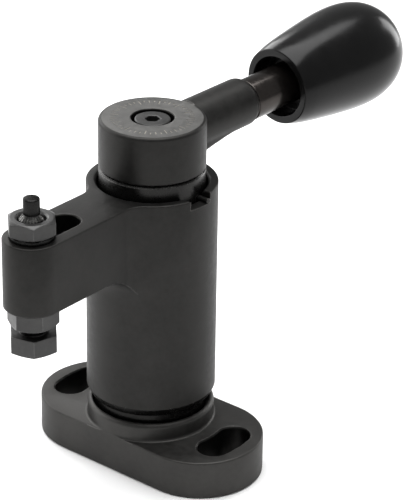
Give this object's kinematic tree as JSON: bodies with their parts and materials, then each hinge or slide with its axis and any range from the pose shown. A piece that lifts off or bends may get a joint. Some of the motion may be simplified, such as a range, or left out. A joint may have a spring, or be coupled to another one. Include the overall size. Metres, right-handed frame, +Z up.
{
  "type": "manual swing clamp",
  "caption": "Manual swing clamp: a cam lever with a knob swings a slotted arm round and draws it down, pressing a hex contact bolt on the work; flange base with arc slots.",
  "frame": {"origin": "on the column axis, in the plane of the base's underside", "axes": "+Z up along the column, the clamping arm along -Y, the lever and handle along +Y, the base flange's length along X; released position, arm swung in"},
  "size_m": [0.095, 0.202, 0.1492],
  "materials": {
    "black_oxide_steel": "satin black oxide on milled and turned steel",
    "dark_steel": "oiled machined steel",
    "hardened_steel": "hardened and ground, black oxide",
    "fastener_steel": "black oxide fastener, satin",
    "ground_steel": "ground",
    "spring_steel": "drawn wire and stamped strip",
    "polished_steel": "polished, dark",
    "bronze": "sintered bronze",
    "black_thermoset": "moulded, glossy"
  },
  "bodies": {
    "base": {"base_flange": "black_oxide_steel", "base_bush": "bronze", "swing_stop_pin": "ground_steel", "thrust_washer": "ground_steel"},
    "carriage": {"guide_ring": "dark_steel", "guide_pins": "ground_steel", "return_spring": "spring_steel"},
    "column": {"swing_body": "black_oxide_steel", "lower_bush": "bronze", "upper_bush": "bronze", "follower_ring": "dark_steel", "follower_pins": "ground_steel", "rim_stop_pin": "dark_steel"},
    "lever_set": {"cam_shaft": "hardened_steel", "shaft_clip": "spring_steel", "shaft_nut": "fastener_steel", "nut_pin": "ground_steel", "lever": "black_oxide_steel", "cap_screw": "fastener_steel", "handle_spindle": "polished_steel", "spindle_clip": "spring_steel"},
    "knob": {"knob": "black_thermoset", "knob_bush": "bronze"},
    "slot_set": {"slot_washer": "fastener_steel"},
    "upper_nut": {"upper_nut": "fastener_steel"},
    "lower_nut": {"lower_nut": "fastener_steel"},
    "contact_bolt": {"contact_bolt": "fastener_steel"}
  },
  "joints": [
    {"name": "arm_swing", "type": "hinge", "parent": "base", "child": "carriage", "pos_m": [0, 0, 0], "axis": [0, 0, 1], "range_deg": [0, 90]},
    {"name": "lever_turn", "type": "hinge", "parent": "carriage", "child": "lever_set", "pos_m": [0, 0, 0], "axis": [0, 0, -1], "range_deg": [0, 90]},
    {"name": "clamp_stroke", "type": "slide", "parent": "carriage", "child": "column", "axis": [0, 0, -1], "range_m": [0, 0.0028], "deforming": ["return_spring"]},
    {"name": "knob_spin", "type": "hinge", "parent": "lever_set", "child": "knob", "pos_m": [0, 0, 0.1251], "axis": [0.0767, 0.9963, 0.0384], "continuous": true},
    {"name": "bolt_shift", "type": "slide", "parent": "column", "child": "slot_set", "axis": [0, 1, 0], "range_m": [0, 0.0165]},
    {"name": "nut_turn", "type": "hinge", "parent": "slot_set", "child": "upper_nut", "pos_m": [0, -0.0635, 0.115], "axis": [0, 0, 1], "range_deg": [-540, 720]},
    {"name": "lower_nut_turn", "type": "hinge", "parent": "slot_set", "child": "lower_nut", "pos_m": [0, -0.0635, 0.081], "axis": [0, 0, 1], "range_deg": [-540, 720]},
    {"name": "bolt_height", "type": "slide", "parent": "slot_set", "child": "contact_bolt", "axis": [0, 0, 1], "range_m": [-0.003, 0.00225]}
  ],
  "couplings": [
    {"joint": "clamp_stroke", "follows": "lever_turn", "m_per_rad": 0.0017825},
    {"joint": "lower_nut_turn", "follows": "nut_turn", "ratio": 1},
    {"joint": "bolt_height", "follows": "nut_turn", "m_per_rad": -0.00023873}
  ]
}
